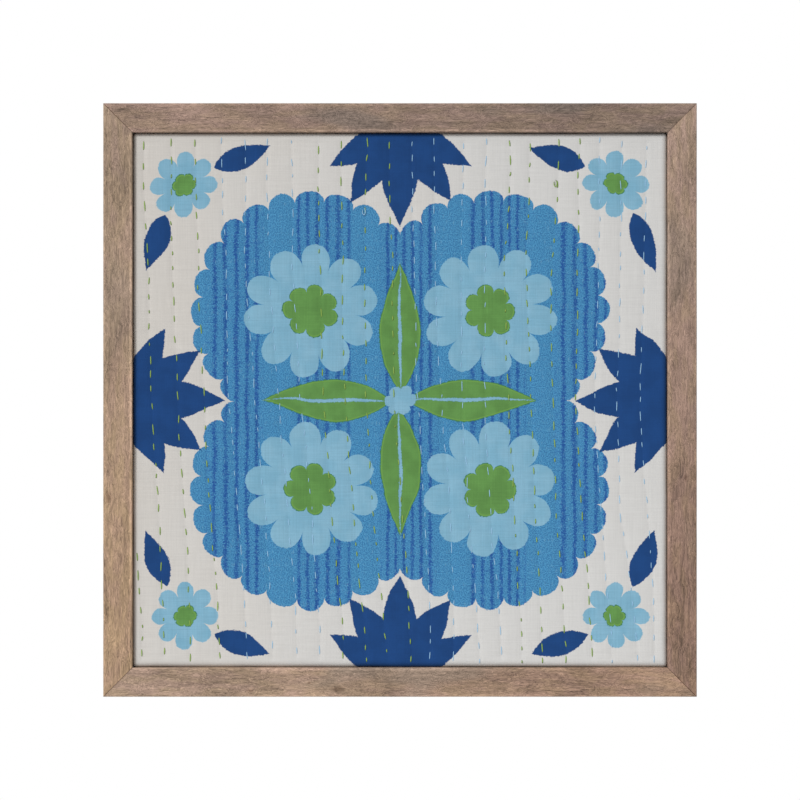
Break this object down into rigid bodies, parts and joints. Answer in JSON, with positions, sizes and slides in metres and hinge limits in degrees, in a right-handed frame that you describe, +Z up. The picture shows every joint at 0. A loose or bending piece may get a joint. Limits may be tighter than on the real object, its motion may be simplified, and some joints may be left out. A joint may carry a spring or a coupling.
{
  "type": "framed quilted printed textile in a wood tray frame",
  "caption": "Square of hand-quilted printed cotton pulled over a board and set in a mitred wood tray frame, to hang on a wall.",
  "frame": {"origin": "centre of the frame's back plane, where the wall holds it", "axes": "+Z up, +Y into the wall, +X to the right as seen from the front; the cloth faces -Y"},
  "size_m": [0.61, 0.025, 0.61],
  "materials": {
    "rail_wood": "matt oiled hardwood with fine open grain",
    "board_wood": "raw pressed wood board",
    "printed_cotton": "printed plain-weave cotton, quilted in running stitch",
    "green_thread": "green twisted cotton sewing thread",
    "blue_thread": "pale blue twisted cotton sewing thread"
  },
  "bodies": {
    "root": {"rail_bottom": "rail_wood", "rail_left": "rail_wood", "rail_top": "rail_wood", "rail_right": "rail_wood", "mount_board": "board_wood", "cloth": "printed_cotton"}
  },
  "joints": []
}
